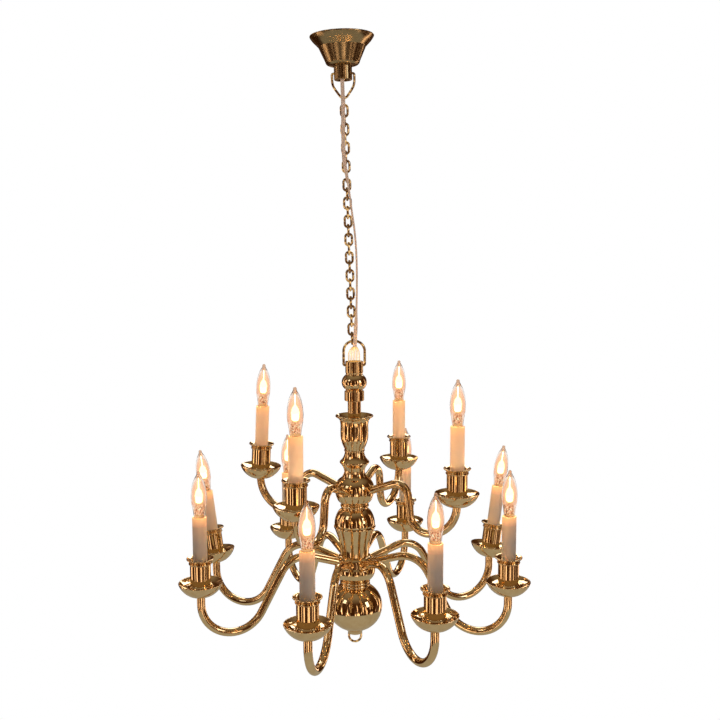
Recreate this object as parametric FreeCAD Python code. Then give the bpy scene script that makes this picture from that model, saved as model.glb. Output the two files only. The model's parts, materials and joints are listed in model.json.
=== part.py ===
import FreeCAD, Part
import math
import os

# Miniature chandelier, millimetres. The origin is the middle of the ceiling face, +Z is up,
# so everything hangs at negative z. The front is -Y. Arms are placed by their angle round the
# stem, counted from the front (-Y) towards +X.

V = FreeCAD.Vector
UP = V(0, 0, 1)
os.makedirs("parts", exist_ok=True)

# Driving dimensions
PLATE_R, PLATE_T = 5.9, 0.35  # plate on the ceiling, inside the canopy
LEAD_HOLE_X, LEAD_HOLE_Y, LEAD_HOLE_R = -1.0, -2.4, 0.7  # the lead's hole in the plate
FLANGE_R = 6.4  # canopy flange
SHELL_TOP_R, SHELL_TOP_Z = 4.75, -2.15  # crease between the canopy's flange and its cone
SHELL_LOW_R, SHELL_LOW_Z = 3.46, -5.0  # bottom of the canopy's cone
NECK_R, NECK_BORE_R = 1.93, 1.3
NECK_TOP_Z, NECK_END_Z = -5.2, -8.7

WIRE_R = 0.225  # wire of the chain links and of the upper bail
STEM_WIRE_R = 0.27  # wire of the lower bail
PLAY = 0.06  # gap between two linked wires
RUN_FIT = 0.07  # radial gap of a bail's wire in its cross hole, and at the sides of its neck
STRAIGHT = 0.001  # straight wire left between two bends that nearly meet
CROSS_REACH = 4  # half the length of the drill that cuts a cross hole

UPPER_BAIL_Z = -7.3  # cross hole in the canopy's neck
UPPER_BAIL_BEND_Z = -9.6  # where the legs turn inwards
UPPER_BAIL_APEX_Z = -12.7  # where the legs would meet
UPPER_BAIL_TIP_R, UPPER_BAIL_SIDE_R = 0.9, 3.2
LOWER_BAIL_Z = -65.75  # cross hole in the stem's collar
LOWER_BAIL_TOP_Z = -60.72
COLLAR_R = 1.83

LINKS = 27
LINK_W = 1.78  # outside width of a link
HOOK = 2 * WIRE_R + PLAY  # centre to centre where two links hook
LOW_HOOK = WIRE_R + STEM_WIRE_R + PLAY  # the same for the last link and the lower bail

# The fixture hangs a little out of true: its bail is hooked beside the middle of the arch.
HANG_LEAN = 1.75  # degrees
HANG_SHIFT = V(0.4, 0, 0.03)
HANG = FreeCAD.Placement(
    HANG_SHIFT, FreeCAD.Rotation(V(0, 1, 0), HANG_LEAN), V(0, 0, LOWER_BAIL_TOP_Z)
)

ROD_R = 0.8  # tube through the stem
ARM_R = 0.82
ARM_END = 1.6  # from a pan's rim down to the end of its arm, inside the pan

LOWER_PAN_R, LOWER_PAN_Z = 32.75, -107.75  # pan rim: distance from the stem, height
UPPER_PAN_R, UPPER_PAN_Z = 23.4, -89.6
LOWER_FIRST, UPPER_FIRST = -20.0, -28.0  # angle of the first arm of each tier
# The arms are bent and fitted by hand: each sits a little off its even place.
LOWER_TURN = (5, 1, -2, -2, -2, 4, 0, -4)  # degrees round the stem
LOWER_LIFT = (-0.4, 0.2, 0.25, -0.05, 0.7, -0.4, -0.45, 0.15)
LOWER_LEAN = (0, 0, 0, 8, 0, 0, 8, 0)  # candle leaning outwards, degrees
UPPER_TURN = (0, -3, 2, 0)
UPPER_LIFT = (-0.15, 0, -0.05, 0.5)
UPPER_LEAN = (0, 0, 0, -3)

PAN_R, PAN_DEPTH = 4.4, 2.8
CUP_R, CUP_LIP_R, CUP_TOP = 2.05, 2.7, 5.0
SLEEVE_R, SLEEVE_BORE_R, SLEEVE_TOP = 1.41, 1.1, 13.3
BULB_R, BULB_NECK_R, BULB_TIP = 1.43, 1.08, 22.4

LEAD_R = 0.18  # each strand of the twin lead
LEAD_SPREAD = 0.19  # half the distance between the strands
LEAD_BEND = 0.45  # share of the shorter run beside a bend that the bend takes up
FINE_WIRES, FINE_R = 8, 0.07
FINE_BEND_R = 0.9


def save(name, *solids):
    shape = solids[0] if len(solids) == 1 else Part.makeCompound(list(solids))
    shape.exportStep("parts/" + name + ".step")


def save_hung(name, *solids):
    """Saves a piece of the hanging fixture, built upright, as it hangs."""
    leaning = []
    for solid in solids:
        copy = solid.copy()
        copy.Placement = HANG.multiply(copy.Placement)
        leaning.append(copy)
    save(name, *leaning)


def joined(solids):
    return solids[0].multiFuse(solids[1:]).removeSplitter().Solids[0]


def turned(start, *steps):
    """A solid of revolution about Z from a profile of (r, z) points. Each step is one point
    for a line, two for an arc through the first, and more for a smooth curve."""
    edges = []
    at = V(start[0], 0, start[1])
    for step in list(steps) + [[start]]:
        points = [V(r, 0, z) for r, z in step]
        if len(points) == 1:
            edges.append(Part.makeLine(at, points[0]))
        elif len(points) == 2:
            edges.append(Part.Arc(at, points[0], points[1]).toShape())
        else:
            curve = Part.BSplineCurve()
            curve.interpolate([at] + points)
            edges.append(curve.toShape())
        at = points[-1]
    solid = Part.Face(Part.Wire(edges)).revolve(V(0, 0, 0), UP, 360)
    return solid if solid.ShapeType == "Solid" else Part.Solid(solid.Shells[0])


def disc(at, along, r):
    return Part.Face(Part.Wire(Part.makeCircle(r, at, along)))


def rod(a, b, r):
    return Part.makeCylinder(r, (b - a).Length, a, b - a)


def cross_hole(z, wire_r):
    """The drill through a neck or collar, for the wire of a bail at height z."""
    return rod(V(-CROSS_REACH, 0, z), V(CROSS_REACH, 0, z), wire_r + RUN_FIT)


def bend(at, along, centre, axis, degrees, r):
    return disc(at, along, r).revolve(centre, axis, degrees)


def rounded(points, radii, closed=False):
    """Runs and bends of a path through the points: [("run", a, b)] and
    [("bend", start, direction, centre, axis, degrees)]. A radius is asked for each corner."""
    n = len(points)
    corners = range(n) if closed else range(1, n - 1)
    leave, arrive, bends = {}, {}, {}
    for i in corners:
        before, here, after = points[i - 1], points[i], points[(i + 1) % n]
        d0 = (here - before).normalize()
        d1 = (after - here).normalize()
        turn = d0.getAngle(d1)
        run = radii[i] * math.tan(turn / 2)
        axis = d0.cross(d1).normalize()
        arrive[i] = here - d0 * run
        leave[i] = here + d1 * run
        centre = arrive[i] + axis.cross(d0) * radii[i]
        bends[i] = ("bend", arrive[i], d0, centre, axis, math.degrees(turn))
    path = []
    for i in range(n if closed else n - 1):
        j = (i + 1) % n
        a = leave.get(i, points[i])
        b = arrive.get(j, points[j])
        if (b - a).Length > 1e-6:
            path.append(("run", a, b))
        if j in bends:
            path.append(bends[j])
    return path


def tube(path, r):
    solids = []
    for kind, *spec in path:
        if kind == "run":
            solids.append(rod(spec[0], spec[1], r))
        else:
            solids.append(bend(*spec, r))
    return joined(solids)


# Canopy: a plate on the ceiling, a spun cup under a flared flange, and a drilled neck.
lead_hole = V(LEAD_HOLE_X, LEAD_HOLE_Y, 0)
plate = Part.makeCylinder(PLATE_R, PLATE_T, V(0, 0, -PLATE_T))
plate = plate.cut(rod(lead_hole - UP, lead_hole + UP, LEAD_HOLE_R))
save("canopy_plate", plate)

shell = turned(
    (PLATE_R, 0),
    [(FLANGE_R, 0)],
    [(FLANGE_R, -0.22)],
    [(5.95, -0.9), (5.3, -1.6), (SHELL_TOP_R, SHELL_TOP_Z)],
    [(SHELL_LOW_R, SHELL_LOW_Z)],
    [(3.22, -5.5), (2.75, -5.75)],
    [(NECK_R, -5.9)],
    [(NECK_R, -5.5)],
    [(2.65, -5.4)],
    [(3.0, -5.2), (3.12, -4.9)],
    [(4.4, -1.95)],
    [(5.75, -0.55)],
    [(PLATE_R, -PLATE_T)],
)
save("canopy_shell", shell)

neck = turned(
    (NECK_BORE_R, NECK_TOP_Z),
    [(NECK_R, NECK_TOP_Z)],
    [(NECK_R, NECK_END_Z + 0.12)],
    [(NECK_R - 0.12, NECK_END_Z)],
    [(NECK_BORE_R, NECK_END_Z)],
)
neck = neck.cut(cross_hole(UPPER_BAIL_Z, WIRE_R))
save("canopy_neck", neck)

# Upper bail: a teardrop of wire through the neck.
leg_x = NECK_R + RUN_FIT + WIRE_R
slant = math.atan2(leg_x, UPPER_BAIL_BEND_Z - UPPER_BAIL_APEX_Z)
upper_low_z = UPPER_BAIL_APEX_Z + UPPER_BAIL_TIP_R / math.sin(slant) - UPPER_BAIL_TIP_R
teardrop = [
    V(leg_x, 0, UPPER_BAIL_Z),
    V(leg_x, 0, UPPER_BAIL_BEND_Z),
    V(0, 0, UPPER_BAIL_APEX_Z),
    V(-leg_x, 0, UPPER_BAIL_BEND_Z),
    V(-leg_x, 0, UPPER_BAIL_Z),
]
corner_r = WIRE_R + RUN_FIT
radii = [corner_r, UPPER_BAIL_SIDE_R, UPPER_BAIL_TIP_R, UPPER_BAIL_SIDE_R, corner_r]
save("canopy_bail", tube(rounded(teardrop, radii, closed=True), WIRE_R))

# Lower bail: an arch of wire through the stem's collar.
leg_x = COLLAR_R + RUN_FIT + STEM_WIRE_R
arch = [
    V(-leg_x, 0, LOWER_BAIL_Z),
    V(-leg_x, 0, LOWER_BAIL_TOP_Z),
    V(leg_x, 0, LOWER_BAIL_TOP_Z),
    V(leg_x, 0, LOWER_BAIL_Z),
]
arch_r = leg_x - 0.02
corner_r = STEM_WIRE_R + RUN_FIT
radii = [corner_r, arch_r, arch_r, corner_r]
save_hung("stem_bail", tube(rounded(arch, radii, closed=True), STEM_WIRE_R))

# Chain: each link's top wire rests over the bottom wire of the one before it, a quarter turn on.
pitch = (upper_low_z - LOWER_BAIL_TOP_Z + LOW_HOOK) / LINKS
half_w = LINK_W / 2 - WIRE_R
half_h = (pitch + HOOK) / 2
corners = [
    V(half_w, 0, half_h),
    V(half_w, 0, -half_h),
    V(-half_w, 0, -half_h),
    V(-half_w, 0, half_h),
]
link = tube(rounded(corners, [half_w - STRAIGHT] * 4, closed=True), WIRE_R)
for k in range(1, LINKS + 1):
    placed = link.copy()
    placed.rotate(V(0, 0, 0), UP, k * 90)
    placed.translate(V(0, 0, upper_low_z - k * pitch + half_h))
    save("chain_link_%02d" % k, placed)
print("link pitch %.3f, link length %.3f" % (pitch, 2 * half_h + 2 * WIRE_R))

# Twin lead: down through the neck, past the bail, along the chain from its left to its right,
# and into the arch of the lower bail, where it opens into fine wires that enter the collar.
lead_points = [
    lead_hole - UP * 0.05,
    V(lead_hole.x, lead_hole.y, -1.4),
    V(-0.2, -0.75, -4.4),
    V(-0.2, -0.75, -9.2),
    V(-0.18, -1.34, -12.9),
    V(-0.42, -1.32, -20.5),
    V(-0.4, -1.34, -24.8),
    V(0.25, -1.45, -28.5),
    V(0.75, -1.3, -34),
    V(1.35, -0.85, -39),
    V(1.5, -0.65, -45),
    V(1.25, -0.65, -52),
    V(0.85, -1.15, -57.8),
    V(0.6, -1.25, -60.4),
    V(0.5, -0.95, -61.9),
]
radii = [0] * len(lead_points)
for i in range(1, len(lead_points) - 1):
    before = lead_points[i] - lead_points[i - 1]
    after = lead_points[i + 1] - lead_points[i]
    radii[i] = LEAD_BEND * min(before.Length, after.Length) / math.tan(before.getAngle(after) / 2)
print("lead bend radii", [round(r, 1) for r in radii[1:-1]])
lead = rounded(lead_points, radii)
strands = []
for side in (-LEAD_SPREAD, LEAD_SPREAD):
    strand = tube(lead, LEAD_R)
    strand.translate(V(side, 0, 0))
    strands.append(strand)
lead_length = sum(
    (spec[1] - spec[0]).Length
    if kind == "run"
    else (spec[2] - spec[0]).Length * math.radians(spec[4])
    for kind, *spec in lead
)
print("lead length %.2f" % lead_length)
print("strand volume %.3f" % strands[0].Volume)
print("section times length %.3f" % (math.pi * LEAD_R**2 * lead_length))
fine = []
for i in range(FINE_WIRES):
    share = i / (FINE_WIRES - 1) - 0.5
    top = lead_points[-1] + V(0.62 * share, 0.09 * (-1) ** i, -0.12)
    mouth = HANG.multVec(V(2.3 * share, -0.62, -64.9))
    foot = HANG.multVec(V(2.3 * share, -0.62, -66.7))
    fine.append(tube(rounded([top, mouth, foot], [0, FINE_BEND_R, 0]), FINE_R))
save("lead_wire", *strands, *fine)

# Stem: a tube with the drilled collar, bead and band at its top, and turned pieces on it.
core = turned(
    (0, -66.9),
    [(1.5, -66.9)],
    [(1.5, -65.0)],
    [(1.6, -64.9)],
    [(COLLAR_R - 0.08, -64.9)],
    [(COLLAR_R, -64.98)],
    [(COLLAR_R, -67.25)],
    [(COLLAR_R - 0.1, -67.45)],
    [(COLLAR_R - 0.1, -67.7)],
    [(2.6, -69.15), (1.75, -70.8)],
    [(1.7, -71.0)],
    [(1.95, -71.05)],
    [(2.03, -71.15)],
    [(2.03, -73.0)],
    [(1.93, -73.1)],
    [(1.36, -73.15)],
    [(1.36, -78.0)],
    [(ROD_R, -78.0)],
    [(ROD_R, -121.0)],
    [(0, -121.0)],
)
save_hung("stem_core", core.cut(cross_hole(LOWER_BAIL_Z, STEM_WIRE_R)))

vase = turned(
    (ROD_R, -78.0),
    [(1.7, -78.0)],
    [(2.5, -77.6), (2.9, -76.9), (3.78, -76.1)],
    [(3.92, -76.25), (3.76, -76.5)],
    [(3.1, -77.05), (2.9, -77.9), (2.9, -79.5), (2.8, -81.2), (2.5, -82.2), (2.15, -83.0)],
    [(2.05, -83.35)],
    [(2.15, -83.5), (2.05, -83.7)],
    [(ROD_R, -83.7)],
)
save_hung("stem_vase", vase)

knop = turned(
    (ROD_R, -83.7),
    [(2.0, -83.7)],
    [(2.35, -85.0), (3.0, -85.8)],
    [(3.08, -86.0), (3.0, -86.2)],
    [(2.4, -87.0), (2.13, -88.25)],
    [(ROD_R, -88.25)],
)
save_hung("stem_knop", knop)

upper_hub = turned(
    (ROD_R, -88.25),
    [(2.2, -88.25)],
    [(2.6, -89.1), (3.5, -89.9), (3.95, -90.7), (4.08, -91.6), (3.95, -92.9), (3.55, -94.0)],
    [(3.2, -94.4), (2.7, -94.65)],
    [(2.7, -94.8)],
    [(2.98, -95.2), (2.7, -95.6)],
    [(2.7, -95.8)],
    [(ROD_R, -95.8)],
)

upper_ball = turned(
    (ROD_R, -95.8),
    [(2.7, -95.8)],
    [(3.35, -96.4), (3.9, -97.4), (4.18, -98.4), (4.25, -99.1)],
    [(4.15, -99.5)],
    [(ROD_R, -99.5)],
)
save_hung("upper_ball", upper_ball)

lower_vase = turned(
    (ROD_R, -99.5),
    [(4.3, -99.5)],
    [(4.38, -99.68), (4.3, -99.9)],
    [(3.85, -101.1), (3.4, -102.5), (3.08, -104.1), (2.9, -105.9)],
    [(ROD_R, -105.9)],
)
save_hung("lower_vase", lower_vase)

lower_hub = turned(
    (ROD_R, -105.9),
    [(3.0, -105.9)],
    [(3.6, -106.25), (3.85, -107.0)],
    [(3.9, -107.9)],
    [(4.2, -108.3)],
    [(4.28, -109.2), (4.0, -110.2), (3.55, -110.8), (3.1, -111.15)],
    [(3.0, -111.2)],
    [(ROD_R, -111.2)],
)

lower_ball = turned(
    (ROD_R, -111.2),
    [(2.95, -111.2)],
    [(3.2, -111.5), (2.95, -111.8)],
    [(3.22, -112.15), (3.05, -112.5)],
    [(4.1, -113.2), (5.2, -114.6), (5.72, -116.3), (5.68, -117.7), (5.0, -119.6), (3.6, -121.1)]
    + [(2.25, -121.9), (1.65, -122.35), (1.5, -122.9)],
    [(0, -122.9)],
    [(0, -121.0)],
    [(ROD_R, -121.0)],
)

eye_x, eye_r, eye_low = 1.28, 0.24, -124.9
eye = [V(-eye_x, 0, -121.7), V(-eye_x, 0, eye_low), V(eye_x, 0, eye_low), V(eye_x, 0, -121.7)]
eye = tube(rounded(eye, [0, eye_x - STRAIGHT, eye_x - STRAIGHT, 0]), eye_r)
save_hung("finial_ring", eye)
save_hung("lower_ball", lower_ball.cut(eye))


def flat(r, z):
    return V(r, 0, z)


def arm(start, hump, hump_r, trough, trough_r, end_r, end_z):
    """A bent tube in the XZ plane: out of the hub, over a hump, down and round a trough that
    ends upright under its pan. The hump and the trough are given by their turning points."""
    hump_c = flat(hump[0], hump[1] - hump_r)
    trough_c = flat(trough[0], trough[1] + trough_r)
    last_r = end_r - trough[0]
    last_c = flat(trough[0], trough[1] + last_r)
    out = hump_c - flat(*start)
    rise = math.atan2(out.z, out.x) + math.asin(hump_r / out.Length)
    over = trough_c - hump_c
    fall = math.atan2(over.z, over.x) - math.asin((hump_r + trough_r) / over.Length)
    ahead = flat(math.cos(rise), math.sin(rise))
    down = flat(math.cos(fall), math.sin(fall))
    left_of_ahead = flat(-math.sin(rise), math.cos(rise))
    left_of_down = flat(-math.sin(fall), math.cos(fall))
    on_hump = hump_c + left_of_ahead * hump_r
    off_hump = hump_c + left_of_down * hump_r
    on_trough = trough_c - left_of_down * trough_r
    low = flat(*trough)
    foot = flat(end_r, last_c.z)
    path = [
        ("run", flat(*start), on_hump),
        ("bend", on_hump, ahead, hump_c, V(0, 1, 0), math.degrees(rise - fall)),
        ("run", off_hump, on_trough),
        ("bend", on_trough, down, trough_c, V(0, -1, 0), math.degrees(-fall)),
        ("bend", low, V(1, 0, 0), last_c, V(0, -1, 0), 90),
        ("run", foot, flat(end_r, end_z)),
    ]
    return tube(path, ARM_R)


def around(shape, degrees):
    """Turns a shape built over +X to its angle from the front."""
    shape.rotate(V(0, 0, 0), UP, degrees - 90)
    return shape


# One candle, from the pan's rim plane at z = 0.
pan = turned(
    (0, -PAN_DEPTH),
    [(1.0, -PAN_DEPTH)],
    [(2.2, -2.5), (3.3, -1.75), (4.1, -0.75), (PAN_R, -0.1)],
    [(PAN_R, 0)],
    [(PAN_R - 0.12, 0)],
    [(3.95, -0.25), (3.3, -0.6), (2.45, -0.8)],
    [(0, -0.8)],
)
cup = turned(
    (0, -0.8),
    [(2.3, -0.8)],
    [(2.3, -0.6)],
    [(CUP_R, -0.35)],
    [(CUP_R, 3.75)],
    [(2.28, 3.95), (CUP_R + 0.03, 4.15)],
    [(2.2, 4.4)],
    [(CUP_LIP_R, 4.78)],
    [(CUP_LIP_R, CUP_TOP - 0.05)],
    [(CUP_LIP_R - 0.1, CUP_TOP)],
    [(2.2, CUP_TOP - 0.1)],
    [(1.75, 4.6)],
    [(SLEEVE_R, 4.2)],
    [(SLEEVE_R, 0)],
    [(0, 0)],
)
sleeve = turned(
    (SLEEVE_BORE_R, 0),
    [(SLEEVE_R, 0)],
    [(SLEEVE_R, SLEEVE_TOP - 0.15)],
    [(SLEEVE_R - 0.04, SLEEVE_TOP - 0.04), (SLEEVE_R - 0.15, SLEEVE_TOP)],
    [(SLEEVE_BORE_R, SLEEVE_TOP)],
)
base = turned(
    (0, SLEEVE_TOP - 3.3),
    [(0.9, SLEEVE_TOP - 3.3)],
    [(SLEEVE_BORE_R - 0.05, SLEEVE_TOP - 3.1)],
    [(SLEEVE_BORE_R - 0.05, SLEEVE_TOP + 0.08)],
    [(0.95, SLEEVE_TOP + 0.08)],
    [(0.95, SLEEVE_TOP + 0.5)],
    [(0, SLEEVE_TOP + 0.5)],
)
glass = turned(
    (0.95, SLEEVE_TOP + 0.08),
    [(BULB_NECK_R, SLEEVE_TOP + 0.08)],
    [(1.15, 14.3), (1.34, 15.8), (BULB_R, 17.2), (1.37, 18.4), (1.13, 19.8), (0.71, 21.0)]
    + [(0.35, 21.7), (0.16, 22.1)],
    [(0.13, BULB_TIP - 0.06)],
    [(0, BULB_TIP)],
    [(0, 21.5)],
    [(0.15, 21.5)],
    [(0.48, 20.9), (0.95, 19.65), (1.21, 18.35), (1.27, 17.2), (1.18, 15.8), (0.95, 13.9)],
)
post_x, post_r, post_top = 0.34, 0.06, 16.6
feet = SLEEVE_TOP + 0.5
hoop = [V(-post_x, 0, feet), V(-post_x, 0, post_top + post_x)]
hoop += [V(post_x, 0, post_top + post_x), V(post_x, 0, feet)]
filament = tube(rounded(hoop, [0, post_x - STRAIGHT, post_x - STRAIGHT, 0]), post_r)


def placed(shape, r, z, lean, angle):
    """A candle's piece, leaning outwards about the foot of its pan."""
    copy = shape.copy()
    copy.rotate(V(0, 0, -PAN_DEPTH), V(0, 1, 0), lean)
    copy.translate(V(r, 0, z))
    return around(copy, angle)


tiers = {
    "upper": {
        "first": UPPER_FIRST,
        "sets": list(zip(UPPER_TURN, UPPER_LIFT, UPPER_LEAN)),
        "pan": (UPPER_PAN_R, UPPER_PAN_Z),
        "start": (2.6, -92.1),
        "hump": (10.0, -89.45, 2.6),
        "trough": (16.8, -98.8, 3.8),
    },
    "lower": {
        "first": LOWER_FIRST,
        "sets": list(zip(LOWER_TURN, LOWER_LIFT, LOWER_LEAN)),
        "pan": (LOWER_PAN_R, LOWER_PAN_Z),
        "start": (2.5, -107.4),
        "hump": (11.3, -104.85, 5.4),
        "trough": (26.15, -118.95, 6.6),
    },
}
pans, cups, sleeves, arms = [], [], [], {}
for tier, t in tiers.items():
    r, rim = t["pan"]
    arms[tier] = []
    for n, (turn, lift, lean) in enumerate(t["sets"]):
        angle = t["first"] + 360 / len(t["sets"]) * n + turn
        z = rim + lift
        hump_r, trough_r = t["hump"][2], t["trough"][2]
        trough = (t["trough"][0], t["trough"][1] + lift)
        bent = arm(t["start"], t["hump"][:2], hump_r, trough, trough_r, r, z - ARM_END)
        around(bent, angle)
        arms[tier].append(bent)
        pans.append(placed(pan, r, z, lean, angle).cut(bent))
        cups.append(placed(cup, r, z, lean, angle))
        sleeves.append(placed(sleeve, r, z, lean, angle))
        bulb = [placed(piece, r, z, lean, angle) for piece in (base, glass, filament)]
        save_hung("bulb_%s_%d" % (tier, n + 1), *bulb)
    save_hung(tier + "_arms", *arms[tier])
save_hung("drip_pans", *pans)
save_hung("candle_cups", *cups)
save_hung("candle_sleeves", *sleeves)
save_hung("upper_hub", upper_hub.cut(Part.makeCompound(arms["upper"])))
save_hung("lower_hub", lower_hub.cut(Part.makeCompound(arms["lower"])))
print(len(os.listdir("parts")), "parts")
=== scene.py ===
import json
import math

import bpy
import numpy as np
from mathutils import Matrix, Vector

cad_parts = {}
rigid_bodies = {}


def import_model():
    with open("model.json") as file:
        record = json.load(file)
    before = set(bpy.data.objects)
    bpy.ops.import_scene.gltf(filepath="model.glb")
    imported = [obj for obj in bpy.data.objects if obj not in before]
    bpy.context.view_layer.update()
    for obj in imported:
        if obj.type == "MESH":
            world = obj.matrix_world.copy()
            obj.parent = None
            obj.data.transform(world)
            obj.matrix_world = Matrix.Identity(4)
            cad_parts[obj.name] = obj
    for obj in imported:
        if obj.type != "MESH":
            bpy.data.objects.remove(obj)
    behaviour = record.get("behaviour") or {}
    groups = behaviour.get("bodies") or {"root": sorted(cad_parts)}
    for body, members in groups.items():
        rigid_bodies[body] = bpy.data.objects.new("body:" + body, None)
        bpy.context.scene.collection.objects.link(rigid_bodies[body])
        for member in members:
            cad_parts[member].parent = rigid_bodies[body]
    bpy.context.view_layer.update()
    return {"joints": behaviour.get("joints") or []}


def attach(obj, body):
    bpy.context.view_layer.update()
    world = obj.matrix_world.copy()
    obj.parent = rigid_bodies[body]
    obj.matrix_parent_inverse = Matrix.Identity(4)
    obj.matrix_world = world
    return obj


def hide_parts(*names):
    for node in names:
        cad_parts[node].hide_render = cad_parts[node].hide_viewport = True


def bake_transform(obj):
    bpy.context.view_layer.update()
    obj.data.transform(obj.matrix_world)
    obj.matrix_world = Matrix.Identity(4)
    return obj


# Miniature chandelier. Shapes are written in millimetres in the frame of the CAD model and
# scaled when their meshes are made. The origin is the middle of the ceiling face, +Z is up.

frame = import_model()
scene = bpy.context.scene
MM = 0.001

# The fixture is drawn upright and hangs a little out of true from the chain's last link.
HUNG_FROM = Vector((0, 0, -60.72))
HANG_SHIFT, HANG_LEAN = Vector((0.4, 0, 0.03)), math.radians(1.75)
HANG = (
    Matrix.Translation(HUNG_FROM + HANG_SHIFT)
    @ Matrix.Rotation(HANG_LEAN, 4, "Y")
    @ Matrix.Translation(-HUNG_FROM)
)


# ------------------------------------------------------------------ camera
# Where the camera stands from the upright fixture, and how it is turned, in degrees.
CAMERA_PLACE, CAMERA_TURNS = (-0.4, -194.65, -42.47), (0.47, 6.51, -0.15)


def looking(yaw, pitch, roll):
    """Axes of a camera that looks along +Y, turned right, tipped down and rolled, in degrees."""
    yaw, pitch, roll = (math.radians(angle) for angle in (yaw, pitch, roll))
    ahead = Vector((math.sin(yaw) * math.cos(pitch), math.cos(yaw) * math.cos(pitch), -math.sin(pitch)))
    right = Vector((math.cos(yaw), -math.sin(yaw), 0))
    up = right.cross(ahead)
    x = right * math.cos(roll) + up * math.sin(roll)
    y = up * math.cos(roll) - right * math.sin(roll)
    return Matrix((x, y, -ahead)).transposed().to_4x4()


def add_camera():
    data = bpy.data.cameras.new("camera")
    data.sensor_width = 36
    data.lens = 47.65
    data.clip_start = 0.01
    data.clip_end = 50
    camera = bpy.data.objects.new("camera", data)
    scene.collection.objects.link(camera)
    place = HANG @ Matrix.Translation(CAMERA_PLACE) @ looking(*CAMERA_TURNS)
    place.translation *= MM
    camera.matrix_world = place
    scene.camera = camera


# ------------------------------------------------------------------ node trees
class Tree:
    """A short way to write a node tree. A value may be a number, a colour or a socket."""

    def __init__(self, owner):
        owner.use_nodes = True
        self.tree = owner.node_tree
        self.tree.nodes.clear()

    def put(self, socket, value):
        if isinstance(value, bpy.types.NodeSocket):
            self.tree.links.new(value, socket)
        elif isinstance(value, tuple) and socket.type == "RGBA":
            socket.default_value = (*value[:3], 1)
        else:
            socket.default_value = value

    def add(self, kind, values=None, **settings):
        node = self.tree.nodes.new("ShaderNode" + kind)
        for key, value in settings.items():
            setattr(node, key, value)
        for key, value in (values or {}).items():
            self.put(node.inputs[key], value)
        return node

    def math(self, operation, a, b=0.0, c=0.0):
        return self.add("Math", {0: a, 1: b, 2: c}, operation=operation).outputs[0]

    def ramp(self, factor, *stops):
        node = self.add("ValToRGB", {"Fac": factor})
        elements = node.color_ramp.elements
        while len(elements) < len(stops):
            elements.new(0.5)
        for element, (place, colour) in zip(elements, stops):
            element.position = place
            element.color = (*colour, 1) if isinstance(colour, tuple) else (colour, colour, colour, 1)
        return node.outputs[0]

    def mix(self, factor, a, b):
        node = self.add("Mix", data_type="RGBA")
        self.put(node.inputs[0], factor)
        self.put(node.inputs[6], a)
        self.put(node.inputs[7], b)
        return node.outputs[2]

    def noise(self, where, stretch, detail=3.0, roughness=0.55, distortion=0.0):
        scaled = self.add("Mapping", {"Vector": where, "Scale": stretch}).outputs[0]
        values = {"Vector": scaled, "Scale": 1.0, "Detail": detail, "Roughness": roughness}
        values["Distortion"] = distortion
        return self.add("TexNoise", values).outputs[0]

    def bump(self, height, depth_mm, normal=None):
        values = {"Height": height, "Distance": depth_mm * MM}
        if normal:
            values["Normal"] = normal
        return self.add("Bump", values).outputs[0]

    def place(self):
        """The piece's own coordinates in millimetres: across, across, and along its axis."""
        return self.add("Attribute", attribute_name="place").outputs["Vector"]

    def surface(self, shader):
        self.add("OutputMaterial", {"Surface": shader.outputs[0]})


def new_material(name):
    made = bpy.data.materials.new(name)
    return made, Tree(made)


# ------------------------------------------------------------------ materials
def brass(name, marks, marks_depth, wobble, wobble_depth, dull=0.0, painted_shade=0.0, painted_glint_spots=0.0):
    """Polished, lacquered brass. marks stretches its fine tool marks, wobble its soft unevenness.
    dull adds roughness, the next darkens it all as painted shade, and the last is its share of
    painted highlights and painted dark reflections, whose light spots also glow as painted
    reflections of the bulbs."""
    made, t = new_material(name)
    place = t.place()
    world = t.add("TexCoord").outputs["Object"]
    film = t.noise(world, (700, 700, 700), 4, 0.6)
    specks = t.noise(place, (9, 9, 9), 2, 0.7)
    clean = t.mix(t.ramp(film, (0.35, 0.0), (0.68, 1.0)), (0.91, 0.69, 0.39), (0.83, 0.59, 0.30))
    colour = t.mix(t.ramp(specks, (0.66, 0.0), (0.74, 0.55)), clean, (0.42, 0.27, 0.10))
    # Painted shade: the whole piece is darkened towards dark brown.
    if painted_shade:
        colour = t.mix(painted_shade, colour, (0.12, 0.08, 0.03))
    painted_glint = (0.0, 0.0, 0.0)
    # Painted highlights and painted dark reflections in spots, with a painted glow in the light spots that
    # stands for reflections of the bulbs.
    if painted_glint_spots:
        glint_patches = t.noise(place, (1.6, 1.6, 1.3), 2, 0.6)
        colour = t.mix(painted_glint_spots, colour, t.ramp(glint_patches, (0.46, (0.22, 0.10, 0.03)), (0.6, (1.0, 0.88, 0.60))))
        painted_glint = t.ramp(glint_patches, (0.52, (0.0, 0.0, 0.0)), (0.64, (0.62, 0.38, 0.12)))
    worn = t.ramp(film, (0.3, 0.02), (0.75, 0.075))
    roughness = t.math("ADD", worn, t.ramp(specks, (0.6, 0.0), (0.8, 0.12)))
    roughness = t.math("ADD", roughness, dull)
    soft = t.bump(t.noise(place, wobble, 2, 0.5), wobble_depth)
    fine = t.bump(t.noise(place, marks, 2, 0.6), marks_depth, soft)
    values = {"Base Color": colour, "Metallic": 1.0, "Roughness": roughness, "Normal": fine}
    values.update({"Emission Color": painted_glint, "Emission Strength": 1.0})
    t.surface(t.add("BsdfPrincipled", values))
    return made


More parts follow.
